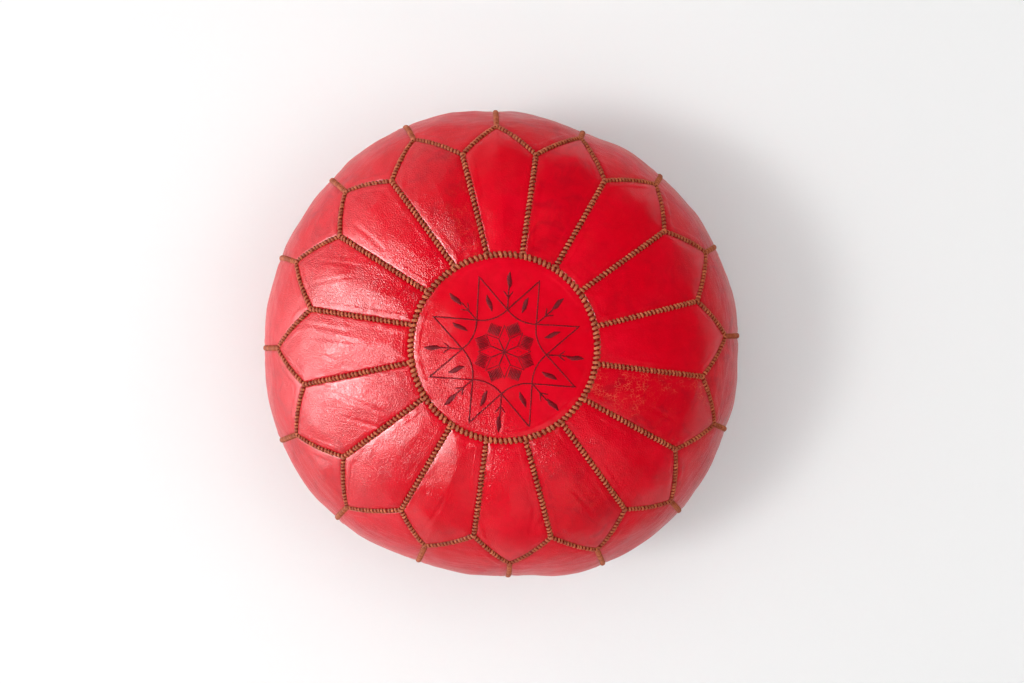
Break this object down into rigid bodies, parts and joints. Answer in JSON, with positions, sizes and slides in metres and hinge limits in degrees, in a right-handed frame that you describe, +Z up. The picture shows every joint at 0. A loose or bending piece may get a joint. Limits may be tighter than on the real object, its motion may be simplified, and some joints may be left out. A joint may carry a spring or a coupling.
{
  "type": "leather pouf",
  "caption": "Round stuffed floor pouf of sewn red leather petals and side panels, with an embroidered top disc and a zipped base.",
  "frame": {"origin": "centre of the flat base, on the floor", "axes": "+Z up through the middle of the top medallion; X along the zip in the base, with the closed zip's slider at +X"},
  "size_m": [0.5254, 0.5254, 0.3308],
  "materials": {
    "red_leather": "satin",
    "embroidery_thread": "satin",
    "seam_thread": "satin",
    "zip_tape": "matte",
    "zip_metal": "satin",
    "bag_cloth": "matte",
    "cotton": "matte"
  },
  "bodies": {
    "pouf": {"top_medallion": "red_leather", "medallion_embroidery": "embroidery_thread", "top_petal_01": "red_leather", "top_petal_02": "red_leather", "top_petal_03": "red_leather", "top_petal_04": "red_leather", "top_petal_05": "red_leather", "top_petal_06": "red_leather", "top_petal_07": "red_leather", "top_petal_08": "red_leather", "top_petal_09": "red_leather", "top_petal_10": "red_leather", "top_petal_11": "red_leather", "top_petal_12": "red_leather", "top_petal_13": "red_leather", "top_petal_14": "red_leather", "top_petal_15": "red_leather", "top_petal_16": "red_leather", "side_panel_01": "red_leather", "side_panel_02": "red_leather", "side_panel_03": "red_leather", "side_panel_04": "red_leather", "side_panel_05": "red_leather", "side_panel_06": "red_leather", "side_panel_07": "red_leather", "side_panel_08": "red_leather", "side_panel_09": "red_leather", "side_panel_10": "red_leather", "side_panel_11": "red_leather", "side_panel_12": "red_leather", "side_panel_13": "red_leather", "side_panel_14": "red_leather", "side_panel_15": "red_leather", "side_panel_16": "red_leather", "base_petal_01": "red_leather", "base_petal_02": "red_leather", "base_petal_03": "red_leather", "base_petal_04": "red_leather", "base_petal_05": "red_leather", "base_petal_06": "red_leather", "base_petal_07": "red_leather", "base_petal_08": "red_leather", "base_petal_09": "red_leather", "base_petal_10": "red_leather", "base_petal_11": "red_leather", "base_petal_12": "red_leather", "base_petal_13": "red_leather", "base_petal_14": "red_leather", "base_petal_15": "red_leather", "base_petal_16": "red_leather", "base_disc_front": "red_leather", "base_disc_back": "red_leather", "upper_seam_thread": "seam_thread", "lower_seam_thread": "seam_thread", "zip_tape_front": "zip_tape", "zip_tape_back": "zip_tape", "inner_bag": "bag_cloth", "stuffing": "cotton"},
    "slider": {"zip_slider": "zip_metal"},
    "pull": {"zip_pull": "zip_metal"}
  },
  "joints": [
    {"name": "zip_slider_slide", "type": "slide", "parent": "pouf", "child": "slider", "axis": [-1, 0, 0], "range_m": [0, 0.23]},
    {"name": "zip_pull_hinge", "type": "hinge", "parent": "slider", "child": "pull", "pos_m": [0.12, 0, 0.0025], "axis": [0, -1, 0], "range_deg": [0, 150]}
  ]
}
